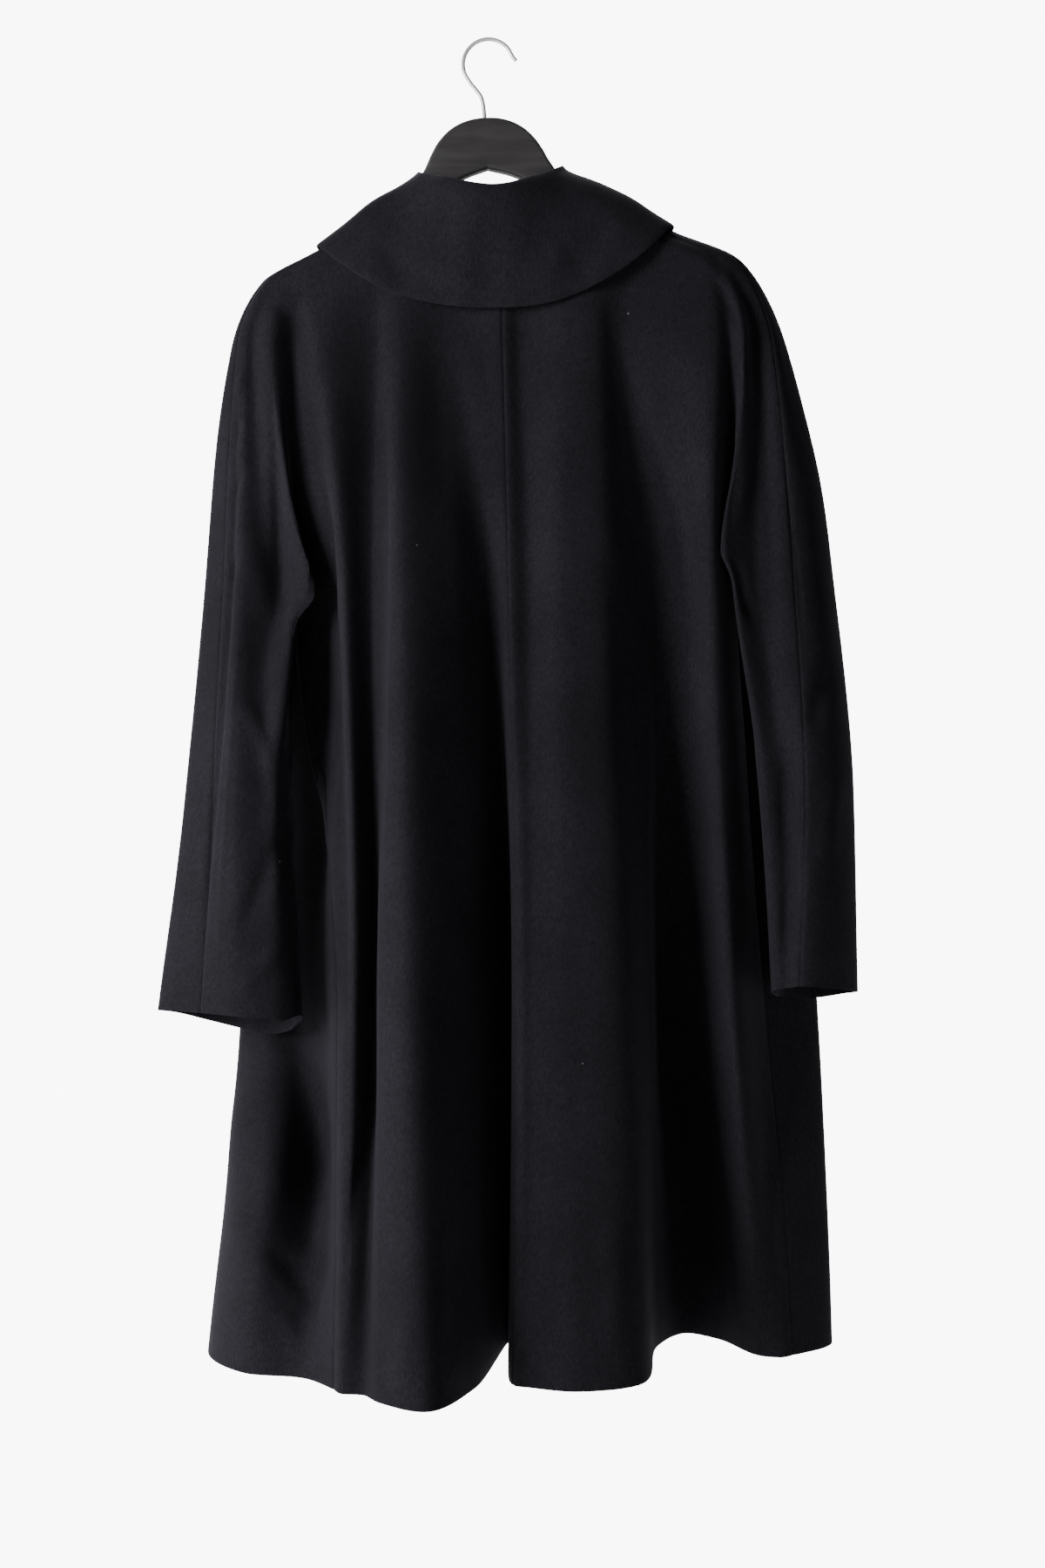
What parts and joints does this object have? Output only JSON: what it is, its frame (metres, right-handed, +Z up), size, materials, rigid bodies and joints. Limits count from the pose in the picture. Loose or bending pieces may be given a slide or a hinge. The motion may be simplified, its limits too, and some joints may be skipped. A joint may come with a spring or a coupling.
{
  "type": "car coat on a hanger",
  "caption": "Dark wool swing-cut car coat with kimono sleeves and a wide round collar, hung on a flat wooden hanger with a wire hook.",
  "frame": {"origin": "inside top of the hanger's hook, where it lies on the rail", "axes": "+Z up, the front of the coat faces -Y and its back +Y, the wearer's left is +X"},
  "size_m": [0.6103, 0.3318, 1.1718],
  "materials": {
    "wool": "near-black navy wool coating, matt with a soft sheen",
    "black_wood": "black painted wood, satin",
    "bright_steel": "polished"
  },
  "bodies": {
    "root": {"back_left": "wool", "back_right": "wool", "front_left": "wool", "front_right": "wool", "gusset_left": "wool", "gusset_right": "wool", "collar": "wool", "hanger": "black_wood", "hook": "bright_steel"}
  },
  "joints": []
}
